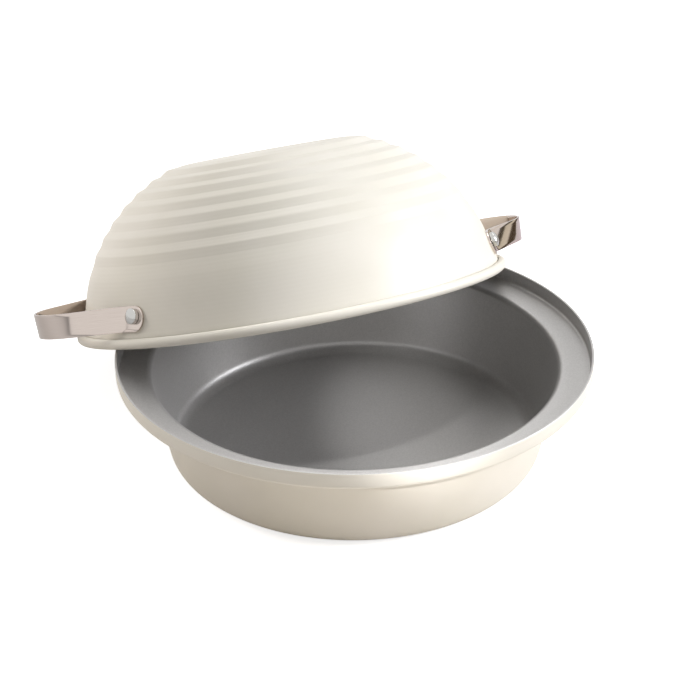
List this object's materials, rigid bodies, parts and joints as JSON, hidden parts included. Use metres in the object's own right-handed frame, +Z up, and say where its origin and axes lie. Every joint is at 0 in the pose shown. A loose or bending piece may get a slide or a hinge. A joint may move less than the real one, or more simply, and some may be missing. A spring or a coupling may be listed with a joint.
{
  "type": "bread cloche",
  "caption": "Round flanged baking pan with a ribbed metal dome lid that has bent strap handles, stored with the lid leaning on the pan.",
  "frame": {"origin": "centre of the underside of the pan's foot, on the table", "axes": "+Z up along the pan's axis; the picture is taken from -Y, looking towards +Y and down"},
  "size_m": [0.3584, 0.376, 0.1761],
  "materials": {
    "pan_steel": "satin cream coating outside, grey non-stick coating inside",
    "lid_steel": "satin cream coating outside, grey non-stick coating inside",
    "strap_steel": "polished",
    "rivet_steel": "polished"
  },
  "bodies": {
    "root": {"base_pan": "pan_steel", "lid_shell": "lid_steel", "left_handle": "strap_steel", "right_handle": "strap_steel", "left_front_rivet": "rivet_steel", "left_rear_rivet": "rivet_steel", "right_front_rivet": "rivet_steel", "right_rear_rivet": "rivet_steel"}
  },
  "joints": []
}
